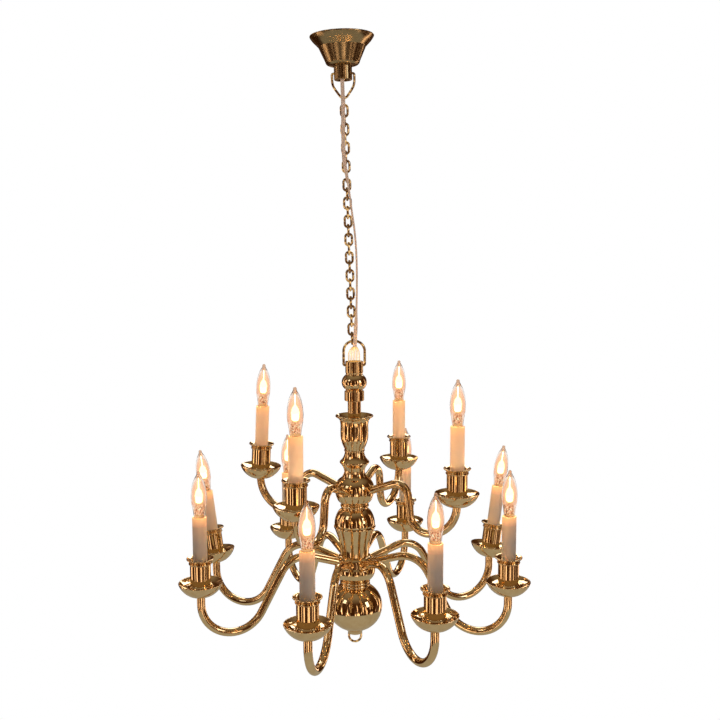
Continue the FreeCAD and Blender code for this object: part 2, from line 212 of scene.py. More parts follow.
def sleeve_plastic(name, light_side, dark_side, deep_glow):
    """Off-white moulded tube, painted near its top with the lit bulb's light: a painted warm tint and a
    painted glow where the bulb stands in it.
    """
    made, t = new_material(name)
    place = t.place()
    along = t.add("SeparateXYZ", {0: place}).outputs[2]
    cloud = t.noise(place, (1.2, 1.2, 0.5), 3, 0.6)
    body = t.mix(cloud, light_side, dark_side)
    # Painted light of the bulb: towards the top the colour turns peach and the glow grows warm.
    glow = t.ramp(t.math("DIVIDE", along, SLEEVE_TOP), (0.62, 0.0), (0.86, 0.25), (0.97, 1.0))
    colour = t.mix(glow, body, (0.90, 0.66, 0.46))
    # The emission is a painted glow: the bulb's light deep inside, along the whole tube and warmer near its
    # top.
    light = t.mix(glow, deep_glow, (0.62, 0.27, 0.10))
    grain = t.noise(place, (7, 7, 2.2), 3, 0.6)
    values = {
        "Base Color": colour,
        "Roughness": t.ramp(grain, (0.3, 0.3), (0.7, 0.46)),
        "Subsurface Weight": 0.25,
        "Subsurface Radius": (1.0, 0.6, 0.4),
        "Subsurface Scale": 0.6 * MM,
        "Emission Color": light,
        "Emission Strength": 1.0,
        "Normal": t.bump(grain, 0.004),
    }
    t.surface(t.add("BsdfPrincipled", values))
    return made


def bulb_glass():
    """Thin clear glass, drawn out by hand, so its wall is a little uneven."""
    made, t = new_material("bulb_glass")
    place = t.place()
    along = t.add("SeparateXYZ", {0: place}).outputs[2]
    tint = t.ramp(
        t.math("DIVIDE", along, BULB_HEIGHT),
        (0.6, (0.95, 0.80, 0.70)),
        (0.75, (0.99, 0.92, 0.85)),
        (0.935, (0.96, 0.88, 0.81)),
        (0.96, (0.66, 0.42, 0.28)),
    )
    rim = t.ramp(t.add("LayerWeight", {"Blend": 0.5}).outputs["Facing"], (0.55, 0.0), (0.92, 1.0))
    values = {
        "Base Color": t.mix(rim, tint, (0.86, 0.62, 0.52)),
        "Roughness": t.ramp(t.noise(place, (2, 2, 1.5), 3, 0.6), (0.4, 0.0), (0.8, 0.06)),
        "IOR": 1.22,
        "Transmission Weight": 1.0,
        "Normal": t.bump(t.noise(place, (1.1, 1.1, 0.35), 1, 0.5), 0.05),
    }
    t.surface(t.add("BsdfPrincipled", values))
    return made


def glow(name, colours, strength, cover, low, high):
    """Light of the hot filament, from low to high in the bulb, covering what is behind it. The
    colours are those of its foot, its middle and its tip."""
    made, t = new_material(name)
    place = t.place()
    along = t.add("SeparateXYZ", {0: place}).outputs[2]
    middle = (low + high) / 2
    away = t.math("DIVIDE", t.math("ABSOLUTE", t.math("SUBTRACT", along, middle)), (high - low) / 2)
    cloud = t.noise(place, (1.3, 1.3, 0.8), 2, 0.5)
    near = t.math("SUBTRACT", 1.12, t.math("MULTIPLY_ADD", cloud, 0.25, away))
    share = t.math("MULTIPLY", t.ramp(near, (0.0, 0.0), (0.75, 1.0)), cover)
    clear = t.add("BsdfTransparent")
    height = t.math("DIVIDE", t.math("SUBTRACT", along, low), high - low)
    colour = t.ramp(height, (0.12, colours[0]), (0.4, colours[1]), (0.95, colours[2]))
    lit = t.add("Emission", {"Color": colour, "Strength": strength})
    t.surface(t.add("MixShader", {0: share, 1: clear.outputs[0], 2: lit.outputs[0]}))
    return made


def press():
    """The pinched foot of the bulb and the wires in it, lit from above: peach with bright points."""
    made, t = new_material("bulb_press")
    place = t.place()
    cloud = t.noise(place, (2.6, 2.6, 1.8), 3, 0.7)
    points = t.noise(place, (4.2, 4.2, 3.2), 1, 0.5)
    warm = t.ramp(cloud, (0.42, (0.22, 0.06, 0.02)), (0.52, (0.85, 0.38, 0.20)), (0.64, (1.0, 0.66, 0.44)))
    colour = t.mix(t.ramp(points, (0.57, 0.0), (0.62, 1.0)), warm, (1.0, 0.92, 0.62))
    clear = t.add("BsdfTransparent")
    lit = t.add("Emission", {"Color": colour, "Strength": 1.05})
    share = t.ramp(cloud, (0.3, 0.85), (0.6, 0.98))
    t.surface(t.add("MixShader", {0: share, 1: clear.outputs[0], 2: lit.outputs[0]}))
    return made


def hot(name, colour, strength):
    """A glowing wire, hottest in the middle of its length."""
    made, t = new_material(name)
    flicker = t.ramp(t.noise(t.place(), (3, 3, 4), 2, 0.6), (0.3, 0.55), (0.7, 1.0))
    values = {
        "Base Color": (0.5, 0.3, 0.15),
        "Metallic": 1.0,
        "Roughness": 0.4,
        "Emission Color": t.mix(flicker, (colour[0] * 0.6, colour[1] * 0.45, colour[2] * 0.3), colour),
        "Emission Strength": strength,
    }
    t.surface(t.add("BsdfPrincipled", values))
    return made


def lead_plastic():
    """Clear insulation over fine stranded wire: a pinkish grey, with the strands showing in it, and a painted
    glow of a fifth of its colour.
    """
    made, t = new_material("lead_insulation")
    place = t.place()
    drawn_out = t.add("Mapping", {"Vector": place, "Scale": (1, 1, 1.1)}).outputs[0]
    wave = {"Vector": drawn_out, "Scale": 1.6, "Distortion": 1.2, "Detail": 1.5}
    strands = t.add("TexWave", wave, bands_direction="DIAGONAL")
    cloud = t.noise(place, (1.5, 1.5, 0.9), 3, 0.6)
    tone = t.math("MULTIPLY", strands.outputs[0], cloud)
    colour = t.ramp(tone, (0.05, (0.50, 0.38, 0.30)), (0.3, (0.80, 0.64, 0.52)), (0.65, (0.97, 0.84, 0.72)))
    values = {
        "Base Color": colour,
        # Painted light: the insulation glows with a fifth of its colour.
        "Emission Color": t.mix(0.8, colour, (0.0, 0.0, 0.0)),
        "Emission Strength": 1.0,
        "Roughness": 0.28,
        "Coat Weight": 0.6,
        "Coat Roughness": 0.08,
        "Subsurface Weight": 0.2,
        "Subsurface Radius": (1.0, 0.6, 0.4),
        "Subsurface Scale": 0.3 * MM,
        "Normal": t.bump(strands.outputs[0], 0.01),
    }
    t.surface(t.add("BsdfPrincipled", values))
    return made


def copper():
    """The lead's bare strands, pale copper, with a painted warm glow as painted light."""
    made, t = new_material("fine_wire")
    cloud = t.noise(t.place(), (2, 2, 1.5), 3, 0.6)
    values = {
        "Base Color": t.mix(cloud, (1.0, 0.85, 0.50), (0.92, 0.62, 0.26)),
        "Metallic": 0.6,
        # Painted light: the strands glow warm, more in some spots than in others.
        "Emission Color": t.mix(cloud, (0.60, 0.44, 0.16), (0.30, 0.16, 0.03)),
        "Emission Strength": 1.0,
        "Roughness": t.ramp(cloud, (0.3, 0.22), (0.7, 0.4)),
        "Coat Weight": 0.5,
        "Coat Roughness": 0.1,
    }
    t.surface(t.add("BsdfPrincipled", values))
    return made


# ------------------------------------------------------------------ curves
def spline(points, per_span=6):
    """Points of a smooth curve through the given ones."""
    p = np.array(points, float)
    h = np.linalg.norm(np.diff(p, axis=0), axis=1)[:, None]
    slope = np.diff(p, axis=0) / h
    inner = (slope[:-1] * h[1:] + slope[1:] * h[:-1]) / (h[1:] + h[:-1])
    m = np.vstack([slope[:1] * 1.5 - inner[:1] * 0.5, inner, slope[-1:] * 1.5 - inner[-1:] * 0.5])
    curve = []
    for i in range(len(p) - 1):
        for u in np.arange(1, per_span + 1) / per_span:
            a, b = p[i] * (1 + 2 * u) * (1 - u) ** 2, p[i + 1] * u**2 * (3 - 2 * u)
            c, d = m[i] * u * (1 - u) ** 2 * h[i], m[i + 1] * u**2 * (u - 1) * h[i]
            curve.append(a + b + c + d)
    return curve


def arc_through(a, b, c, degrees_each=9):
    """Points after a of the arc from a through b to c, in a plane."""
    (ax, ay), (bx, by), (cx, cy) = a, b, c
    d = 2 * (ax * (by - cy) + bx * (cy - ay) + cx * (ay - by))
    sa, sb, sc = ax * ax + ay * ay, bx * bx + by * by, cx * cx + cy * cy
    x = (sa * (by - cy) + sb * (cy - ay) + sc * (ay - by)) / d
    y = (sa * (cx - bx) + sb * (ax - cx) + sc * (bx - ax)) / d
    first, middle, last = (math.atan2(q - y, p - x) for p, q in (a, b, c))
    sweep = (last - first) % math.tau
    if (middle - first) % math.tau > sweep:
        sweep -= math.tau
    count = max(4, round(abs(math.degrees(sweep)) / degrees_each))
    r = math.hypot(ax - x, ay - y)
    angles = [first + sweep * k / count for k in range(1, count + 1)]
    return [(x + r * math.cos(angle), y + r * math.sin(angle)) for angle in angles]


def outline(start, *steps, edge=0.06):
    """The closed outline (r, z) of a turned piece. Each step is one point for a line, two for an
    arc through the first, and more for a smooth curve. Sharp corners are eased by about edge."""
    loop, corner = [], []
    at = start
    for step in list(steps) + [[start]]:
        if len(step) == 1:
            found = list(step)
        elif len(step) == 2:
            found = arc_through(at, *step)
        else:
            found = spline([at] + list(step))
        loop += [np.array(q, float) for q in found]
        corner += [False] * (len(found) - 1) + [True]
        at = step[-1]
    eased = []
    for i, here in enumerate(loop):
        back, ahead = loop[i - 1] - here, loop[(i + 1) % len(loop)] - here
        far_back, far_ahead = np.linalg.norm(back), np.linalg.norm(ahead)
        straight = -(back @ ahead) / (far_back * far_ahead)
        if not corner[i] or straight > 0.94 or here[0] < 1e-9:
            eased.append(here)
            continue
        cut = min(edge, 0.4 * far_back, 0.4 * far_ahead)
        a, b = here + back * cut / far_back, here + ahead * cut / far_ahead
        eased += [a * (1 - u) ** 2 + here * 2 * u * (1 - u) + b * u * u for u in (0, 0.25, 0.5, 0.75, 1)]
    return np.array(eased)


def bent(points, radii, degrees_each=7):
    """Points of a closed or open path whose corners are rounded. The ends have radius 0."""
    points = [Vector(p) for p in points]
    path = []
    for i, (here, r) in enumerate(zip(points, radii)):
        if r == 0:
            path.append(here)
            continue
        before = (here - points[i - 1]).normalized()
        after = (points[(i + 1) % len(points)] - here).normalized()
        turn = before.angle(after)
        axis = before.cross(after).normalized()
        first = here - before * r * math.tan(turn / 2)
        centre = first + axis.cross(before) * r
        count = max(3, round(math.degrees(turn) / degrees_each))
        turns = [Matrix.Rotation(turn * k / count, 3, axis) for k in range(count + 1)]
        path += [centre + rotate @ (first - centre) for rotate in turns]
    return path


def walked(x, z, heading, *moves, degrees_each=6):
    """Points of a path in the XZ plane. A move is (length,) or a bend (radius, radians)."""
    path = [Vector((x, 0, z))]
    for move in moves:
        if len(move) == 1:
            count = max(2, round(move[0] / 1.5))
            path += [path[-1] + Vector((math.cos(heading), 0, math.sin(heading))) * move[0] / count]
            for _ in range(count - 1):
                path.append(path[-1] * 2 - path[-2])
            continue
        radius, turn = move
        count = max(3, round(abs(math.degrees(turn)) / degrees_each))
        for _ in range(count):
            chord = 2 * radius * math.sin(abs(turn) / count / 2)
            heading += turn / count / 2
            path.append(path[-1] + Vector((math.cos(heading), 0, math.sin(heading))) * chord)
            heading += turn / count / 2
    return path


def nurbs(points, per_span=10):
    """Points read from the smooth spline that has these control points."""
    curve = bpy.data.curves.new("route", "CURVE")
    curve.dimensions = "3D"
    curve.resolution_u = per_span
    line = curve.splines.new("NURBS")
    line.points.add(len(points) - 1)
    for knot, point in zip(line.points, points):
        knot.co = (*point, 1)
    line.order_u = 3
    line.use_endpoint_u = True
    holder = bpy.data.objects.new("route", curve)
    mesh = bpy.data.meshes.new_from_object(holder)
    path = [v.co.copy() for v in mesh.vertices]
    bpy.data.objects.remove(holder)
    bpy.data.curves.remove(curve)
    bpy.data.meshes.remove(mesh)
    return path


# ------------------------------------------------------------------ forms
# A form is (points, faces, normals, places), in millimetres.
def spun(loop, sides=64):
    """The surface of revolution about Z of a closed outline."""
    n = len(loop)
    ahead = np.roll(loop, -1, 0) - loop
    on_axis = loop[:, 0] < 1e-9
    ahead[on_axis & np.roll(on_axis, -1)] = 0
    tangent = ahead + np.roll(ahead, 1, 0)
    z_next, r_next = np.roll(loop[:, 1], -1), np.roll(loop[:, 0], -1)
    turn = 1 if (loop[:, 0] * z_next - r_next * loop[:, 1]).sum() > 0 else -1
    normal = np.stack([tangent[:, 1], -tangent[:, 0]], 1) * turn
    normal[on_axis, 0] = 0
    normal /= np.maximum(np.linalg.norm(normal, axis=1), 1e-12)[:, None]
    angles = np.arange(sides) * math.tau / sides
    ring = np.stack([np.cos(angles), np.sin(angles)], 1)
    points, normals, first = [], [], []
    for (r, z), (nr, nz), pole in zip(loop, normal, on_axis):
        first.append(len(points))
        if pole:
            points.append((0, 0, z))
            normals.append((0, 0, nz or 1))
        else:
            points += [(r * c, r * s, z) for c, s in ring]
            normals += [(nr * c, nr * s, nz) for c, s in ring]
    faces = []
    for i in range(n):
        j = (i + 1) % n
        if on_axis[i] and on_axis[j]:
            continue
        for k in range(sides):
            m = (k + 1) % sides
            low = [first[i]] if on_axis[i] else [first[i] + k, first[i] + m]
            high = [first[j]] if on_axis[j] else [first[j] + m, first[j] + k]
            faces.append((low + high)[::turn])
    return np.array(points, float), faces, np.array(normals, float), np.array(points, float)


def frames(path, closed=False):
    """Two directions across the path at each of its points, turning as little as they can."""
    n = len(path)
    ahead = []
    for i in range(n):
        a = path[(i + 1) % n] if closed or i < n - 1 else path[i]
        b = path[i - 1] if closed or i > 0 else path[i]
        ahead.append((a - b).normalized())
    side = ahead[0].orthogonal().normalized()
    if all(abs(a.y) < 1e-6 for a in ahead):
        side = Vector((0, 1, 0))
    found = []
    for direction in ahead:
        side = (side - direction * side.dot(direction)).normalized()
        found.append((direction, side, direction.cross(side)))
    return found


def swept(path, radius, sides=18, closed=False, capped=False):
    """A round wire or tube along the path."""
    n = len(path)
    angles = [math.tau * k / sides for k in range(sides)]
    points, normals, places, faces = [], [], [], []
    along = 0.0
    for i, (direction, u, v) in enumerate(frames(path, closed)):
        along += (path[i] - path[i - 1]).length if i else 0.0
        for angle in angles:
            out = u * math.cos(angle) + v * math.sin(angle)
            points.append(path[i] + out * radius)
            normals.append(out)
            places.append((math.cos(angle) * radius, math.sin(angle) * radius, along))
    for i in range(n if closed else n - 1):
        j = (i + 1) % n
        for k in range(sides):
            m = (k + 1) % sides
            faces.append((i * sides + k, i * sides + m, j * sides + m, j * sides + k))
    if capped:
        for end, sign in ((0, -1), (n - 1, 1)):
            direction = frames(path)[end][0] * sign
            base = len(points)
            points += [points[end * sides + k] for k in range(sides)]
            normals += [direction] * sides
            places += [places[end * sides + k] for k in range(sides)]
            faces.append(tuple(base + k for k in range(sides))[::sign])
    return np.array(points, float), faces, np.array(normals, float), np.array(places, float)


def moved(form, matrix):
    points, faces, normals, places = form
    m = np.array(matrix, float)
    return points @ m[:3, :3].T + m[:3, 3], faces, normals @ m[:3, :3].T, places


def piece(name, form_or_forms, material, body, node=None, rides=True):
    """Makes one piece of the object from its forms."""
    forms = form_or_forms if isinstance(form_or_forms, list) else [form_or_forms]
    if body and (body in ("stem_bail", "fixture") or body.startswith("bulb_")):
        forms = [moved(form, HANG) for form in forms]
    points, faces, normals, places = [], [], [], []
    base = 0
    for form in forms:
        points.append(form[0])
        faces += [tuple(base + v for v in face) for face in form[1]]
        normals.append(form[2])
        places.append(form[3])
        base += len(form[0])
    mesh = bpy.data.meshes.new(name)
    mesh.from_pydata((np.vstack(points) * MM).tolist(), [], faces)
    mesh.polygons.foreach_set("use_smooth", [True] * len(mesh.polygons))
    own = mesh.attributes.new("place", "FLOAT_VECTOR", "POINT")
    own.data.foreach_set("vector", np.vstack(places).astype(np.float32).ravel())
    mesh.normals_split_custom_set_from_vertices(np.vstack(normals).tolist())
    mesh.materials.append(material)
    made = bpy.data.objects.new(name, mesh)
    scene.collection.objects.link(made)
    if rides:
        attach(made, body)
    if node:
        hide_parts(node)
    return made


add_camera()
scene.view_settings.view_transform = "Standard"

TURNED = brass("brass_turned", (0.5, 0.5, 12), 0.0007, (0.35, 0.35, 0.5), 0.02)
SPUN = brass("brass_spun", (0.5, 0.5, 9), 0.0012, (0.5, 0.5, 0.7), 0.06)
DRAWN = brass("brass_drawn", (9, 9, 0.35), 0.0012, (1.2, 1.2, 0.35), 0.05)
# The wire's brass carries painted highlights, painted dark reflections and a painted glow of the bulbs'
# reflections.
WIRE = brass("brass_wire", (14, 14, 0.6), 0.0012, (3.0, 3.0, 0.9), 0.02, painted_glint_spots=0.75)
# The canopy's brass is darkened all over with painted shade.
CANOPY = brass("brass_canopy", (0.5, 0.5, 9), 0.0002, (0.5, 0.5, 0.7), 0.01, dull=0.16, painted_shade=0.62)


def brass_piece(name, forms, material, body, node):
    return piece(name, forms, material, body, node)


# ------------------------------------------------------------------ canopy
LEAD_HOLE = (-1.0, -2.4)
NECK_R, NECK_BORE_R = 1.93, 1.3
WIRE_R, STEM_WIRE_R, RUN_FIT = 0.225, 0.27, 0.07
COLLAR_R = 1.83
# How much thicker the links and the canopy's bail are drawn than in the CAD model, and how much
# slimmer its neck.
FULLER, SLIMMER = 0.02, 0.12


def build_canopy():
    plate = outline((0, 0), [(5.9, 0)], [(5.9, -0.35)], [(0, -0.35)])
    brass_piece("ceiling_plate", spun(plate, 96), CANOPY, "canopy", "canopy_plate")
    shell = outline(
        (5.9, 0),
        [(6.4, 0)],
        [(6.4, -0.22)],
        [(5.95, -0.9), (5.3, -1.6), (4.75, -2.15)],
        [(3.46, -5.0)],
        [(3.22, -5.5), (2.75, -5.75)],
        [(NECK_R, -5.9)],
        [(NECK_R, -5.5)],
        [(2.65, -5.4)],
        [(3.0, -5.2), (3.12, -4.9)],
        [(4.4, -1.95)],
        [(5.75, -0.55)],
        [(5.9, -0.35)],
        edge=0.09,
    )
    brass_piece("canopy_cup", spun(shell, 128), CANOPY, "canopy", "canopy_shell")
    neck_r = NECK_R - SLIMMER
    neck = outline(
        (NECK_BORE_R, -5.2),
        [(neck_r, -5.2)],
        [(neck_r, -8.5)],
        [(neck_r - 0.1, -8.62)],
        [(NECK_BORE_R, -8.62)],
    )
    brass_piece("canopy_neck_tube", spun(neck, 72), CANOPY, "canopy", "canopy_neck")


# ------------------------------------------------------------------ bails and chain
def build_bails():
    leg = NECK_R + RUN_FIT + WIRE_R
    high, bend, apex = -7.3, -9.6, -12.7
    teardrop = [(leg, 0, high), (leg, 0, bend), (0, 0, apex), (-leg, 0, bend), (-leg, 0, high)]
    corner = WIRE_R + RUN_FIT
    path = bent(teardrop, [corner, 3.2, 0.9, 3.2, corner])
    wire = swept(path, WIRE_R + FULLER, 24, closed=True)
    brass_piece("canopy_bail_wire", wire, WIRE, "canopy_bail", "canopy_bail")
    leg = COLLAR_R + RUN_FIT + STEM_WIRE_R
    low, top = -65.75, -60.72
    arch = [(-leg, 0, low), (-leg, 0, top), (leg, 0, top), (leg, 0, low)]
    corner = STEM_WIRE_R + RUN_FIT
    path = bent(arch, [corner, leg - 0.02, leg - 0.02, corner])
    wire = swept(path, STEM_WIRE_R, 24, closed=True)
    brass_piece("stem_bail_wire", wire, WIRE, "stem_bail", "stem_bail")


LINKS = sum(j["name"].startswith("chain_swing") for j in frame["joints"])
LINK_WIDTH, PLAY, SEAM = 1.78, 0.06, 0.015
HOOK = 2 * WIRE_R + PLAY


def build_chain():
    swing = {j["name"]: j for j in frame["joints"]}
    top = swing["chain_swing_01"]["pos_m"][2] / MM
    low = swing["bail_stem_swing"]["pos_m"][2] / MM
    pitch = (top - low) / LINKS
    half_w, half_h = LINK_WIDTH / 2 - WIRE_R, (pitch + HOOK) / 2
    stadium = [
        (half_w, 0, SEAM),
        (half_w, 0, half_h),
        (-half_w, 0, half_h),
        (-half_w, 0, -half_h),
        (half_w, 0, -half_h),
        (half_w, 0, -SEAM),
    ]
    r = half_w - 0.001
    path = bent(stadium, [0, r, r, r, r, 0], 10)
    link = swept(path, WIRE_R + FULLER, 20, capped=True)
    for k in range(1, LINKS + 1):
        middle = Vector((0, 0, top - k * pitch + half_h))
        turn = Matrix.Translation(middle) @ Matrix.Rotation(math.radians(k * 90), 4, "Z")
        body, node = "link_%02d" % k, "chain_link_%02d" % k
        brass_piece("link_wire_%02d" % k, moved(link, turn), WIRE, body, node)


# ------------------------------------------------------------------ lead
LEAD_ROUTE = [
    (*LEAD_HOLE, -0.05),
    (*LEAD_HOLE, -1.4),
    (-0.2, -0.75, -4.4),
    (-0.2, -0.75, -9.2),
    (-0.18, -1.34, -12.9),
    (-0.42, -1.32, -20.5),
    (-0.4, -1.34, -24.8),
    (0.25, -1.45, -28.5),
    (0.75, -1.3, -34),
    (1.35, -0.85, -39),
    (1.5, -0.65, -45),
    (1.25, -0.65, -52),
    (0.85, -1.15, -57.8),
    (0.6, -1.25, -60.4),
    (0.5, -0.95, -61.9),
]


STRAND_R, STRAND_OFFSET, STRAND_SIDES = 0.2, 0.19, 14
FIRST_BEND, LAST_BEND = (-8.6, -10.4), (-62.4, -64.9)


def hanging_bodies():
    """(body, the body below it, height of the hinge between them) from the canopy down."""
    hinges = {j["parent"]: j for j in frame["joints"] if j["type"] == "hinge"}
    body, found = "canopy", []
    while body in hinges:
        below = hinges[body]["child"]
        found.append((body, below, hinges[body]["pos_m"][2] / MM))
        body = below
    return found


def cut_at(path, heights):
    """The falling path with a point added at each height."""
    cut = [path[0]]
    for a, b in zip(path, path[1:]):
        for z in heights:
            if b.z < z < a.z:
                cut.append(a.lerp(b, (a.z - z) / (a.z - b.z)))
        cut.append(b)
    return cut


def ease(share):
    """From 0 to 1 with a soft start and a soft end."""
    share = min(max(share, 0.0), 1.0)
    return share * share * (3 - 2 * share)


def beside(z, half):
    """From the middle of the lead to one strand. The pair lies edge-on along most of the chain."""
    turn = math.pi / 2 * ease((-23 - z) / 8) * (1 - ease((-54 - z) / 5))
    return Vector((half * math.cos(turn), half * math.sin(turn), 0))


def build_lead():
    """The lead is made as one length for each hinge it passes. Its bare
    strands fan out below it."""
    insulation, bare = lead_plastic(), copper()
    hinges = hanging_bodies()
    heights = [z for _, _, z in hinges]
    between = [(a + b) / 2 for a, b in zip(heights, heights[1:])]
    between[0], between[-1] = FIRST_BEND[1], LAST_BEND[0]
    tops, ends = [FIRST_BEND[0]] + between, between + [LAST_BEND[1]]
    route = cut_at(nurbs(LEAD_ROUTE), between)
    strands = []
    for half in (-STRAND_OFFSET, STRAND_OFFSET):
        strands.append(swept([p + beside(p.z, half) for p in route], STRAND_R, STRAND_SIDES))
    for n, (upper, lower, _) in enumerate(hinges):
        above = ends[n - 1] if n else 0.0
        chosen = [i for i, p in enumerate(route) if ends[n] - 1e-4 <= p.z <= above + 1e-4]
        if len(chosen) < 2:
            continue
        forms, sides = [], STRAND_SIDES
        for points, _, normals, places in strands:
            rows = slice(chosen[0] * sides, (chosen[-1] + 1) * sides)
            count = len(chosen) - 1
            faces = []
            for i in range(count):
                for k in range(sides):
                    a, b, m = i * sides, (i + 1) * sides, (k + 1) % sides
                    faces.append((a + k, a + m, b + m, b + k))
            forms.append((points[rows], faces, normals[rows], places[rows]))
        name = "lead_%02d" % (n + 1)
        made = piece(name, forms, insulation, None, "lead_wire", rides=False)
        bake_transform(made)
    end = Vector(LEAD_ROUTE[-1])
    wires = []
    for i in range(8):
        share = i / 7 - 0.5
        top = end + Vector((0.62 * share, 0.09 * (-1) ** i, 0.1))
        mouth, foot = (HANG @ Vector((2.3 * share, -0.62, z)) for z in (-64.9, -66.7))
        waist = Vector((mouth.x, top.y + 0.1 * (-1) ** i, top.z - 0.7))
        wires.append(swept(nurbs([top, waist, mouth, foot]), 0.08, 8))
    made = piece("lead_fine_wires", wires, bare, None, "lead_wire", rides=False)
    upper, lower, _ = hinges[-1]
    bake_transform(made)


# ------------------------------------------------------------------ stem
ROD_R = 0.8
STEM = {
    "stem_core": outline(
        (0, -66.9),
        [(1.5, -66.9)],
        [(1.5, -65.0)],
        [(1.6, -64.9)],
        [(COLLAR_R - 0.08, -64.9)],
        [(COLLAR_R, -64.98)],
        [(COLLAR_R, -67.25)],
        [(COLLAR_R - 0.1, -67.45)],
        [(COLLAR_R - 0.1, -67.7)],
        [(2.6, -69.15), (1.75, -70.8)],
        [(1.7, -71.0)],
        [(1.95, -71.05)],
        [(2.03, -71.15)],
        [(2.03, -73.0)],
        [(1.93, -73.1)],
        [(1.36, -73.15)],
        [(1.36, -78.0)],
        [(ROD_R, -78.0)],
        [(ROD_R, -121.0)],
        [(0, -121.0)],
    ),
    "stem_vase": outline(
        (ROD_R, -78.0),
        [(1.7, -78.0)],
        [(2.5, -77.6), (2.9, -76.9), (3.78, -76.1)],
        [(3.92, -76.25), (3.76, -76.5)],
        [(3.1, -77.05), (2.9, -77.9), (2.9, -79.5), (2.8, -81.2), (2.5, -82.2), (2.15, -83.0)],
        [(2.05, -83.35)],
        [(2.15, -83.5), (2.05, -83.7)],
        [(ROD_R, -83.7)],
    ),
    "stem_knop": outline(
        (ROD_R, -83.7),
        [(2.0, -83.7)],
        [(2.35, -85.0), (3.0, -85.8)],
        [(3.08, -86.0), (3.0, -86.2)],
        [(2.4, -87.0), (2.13, -88.25)],
        [(ROD_R, -88.25)],
    ),
    "upper_hub": outline(
        (ROD_R, -88.25),
        [(2.2, -88.25)],
        [(2.6, -89.1), (3.5, -89.9), (3.95, -90.7), (4.08, -91.6), (3.95, -92.9), (3.55, -94.0)],
        [(3.2, -94.4), (2.7, -94.65)],
        [(2.7, -94.8)],
        [(2.98, -95.2), (2.7, -95.6)],
        [(2.7, -95.8)],
        [(ROD_R, -95.8)],
    ),
    "upper_ball": outline(
        (ROD_R, -95.8),
        [(2.7, -95.8)],
        [(3.35, -96.4), (3.9, -97.4), (4.18, -98.4), (4.25, -99.1)],
        [(4.15, -99.5)],
        [(ROD_R, -99.5)],
    ),
    "lower_vase": outline(
        (ROD_R, -99.5),
        [(4.3, -99.5)],
        [(4.38, -99.68), (4.3, -99.9)],
        [(3.85, -101.1), (3.4, -102.5), (3.08, -104.1), (2.9, -105.9)],
        [(ROD_R, -105.9)],
    ),
    "lower_hub": outline(
        (ROD_R, -105.9),
        [(3.0, -105.9)],
        [(3.6, -106.25), (3.85, -107.0)],
        [(3.9, -107.9)],
        [(4.2, -108.3)],
        [(4.28, -109.2), (4.0, -110.2), (3.55, -110.8), (3.1, -111.15)],
        [(3.0, -111.2)],
        [(ROD_R, -111.2)],
    ),
    "lower_ball": outline(
        (ROD_R, -111.2),
        [(2.95, -111.2)],
        [(3.2, -111.5), (2.95, -111.8)],
        [(3.22, -112.15), (3.05, -112.5)],
        [(4.1, -113.2), (5.2, -114.6), (5.72, -116.3), (5.68, -117.7), (5.0, -119.6), (3.6, -121.1)]
        + [(2.25, -121.9), (1.65, -122.35), (1.5, -122.9)],
        [(0, -122.9)],
        [(0, -121.0)],
        [(ROD_R, -121.0)],
    ),
}


def build_stem():
    for node, loop in STEM.items():
        brass_piece(node.replace("stem_", "") + "_turning", spun(loop, 112), TURNED, "fixture", node)
    x, low, high = 1.28, -124.9, -121.7
    path = bent([(-x, 0, high), (-x, 0, low), (x, 0, low), (x, 0, high)], [0, x - 0.001, x - 0.001, 0])
    brass_piece("finial_loop", swept(path, 0.24, 24), WIRE, "fixture", "finial_ring")


# ------------------------------------------------------------------ arms and candles
ARM_R = 0.82
# Angles are in degrees, from the front. A pan and a start are (r, z). A hump and a trough are the
# (r, z) of their highest and lowest points and the radius of their bend.
TIERS = {
    "upper": {
        "first": -28.0,
        "turns": (0, -3, 2, 0),
        "lifts": (-0.15, 0, -0.05, 0.5),
        "leans": (0, 0, 0, -3),
        "pan": (23.4, -89.6),
        "start": (2.6, -92.1),
        "hump": (10.0, -89.45, 2.6),
        "trough": (16.8, -98.8, 3.8),
    },
    "lower": {
        "first": -20.0,
        "turns": (5, 1, -2, -2, -2, 4, 0, -4),
        "lifts": (-0.4, 0.2, 0.25, -0.05, 0.7, -0.4, -0.45, 0.15),
        "leans": (0, 0, 0, 8, 0, 0, 8, 0),
        "pan": (32.75, -107.75),
        "start": (2.5, -107.4),
        "hump": (11.3, -104.85, 5.4),
        "trough": (26.15, -118.95, 6.6),
    },
}


def arm_path(tier, lift):
    """A bent tube: out of the hub, over a hump, down, round a trough and up under its pan."""
    start = Vector(tier["start"])
    hump_x, hump_z, hump_r = tier["hump"]
    trough_x, trough_z, trough_r = tier["trough"]
    trough_z += lift
    end_x, end_z = tier["pan"][0], tier["pan"][1] + lift - 1.6
    out = Vector((hump_x, hump_z - hump_r)) - start
    over = Vector((trough_x, trough_z + trough_r)) - Vector((hump_x, hump_z - hump_r))
    rise = math.atan2(out.y, out.x) + math.asin(hump_r / out.length)
    fall = math.atan2(over.y, over.x) - math.asin((hump_r + trough_r) / over.length)
    last_r = end_x - trough_x
    return walked(
        *start,
        rise,
        (math.sqrt(out.length_squared - hump_r**2),),
        (hump_r, fall - rise),
        (math.sqrt(over.length_squared - (hump_r + trough_r) ** 2),),
        (trough_r, -fall),
        (last_r, math.pi / 2),
        (end_z - trough_z - last_r,),
    )


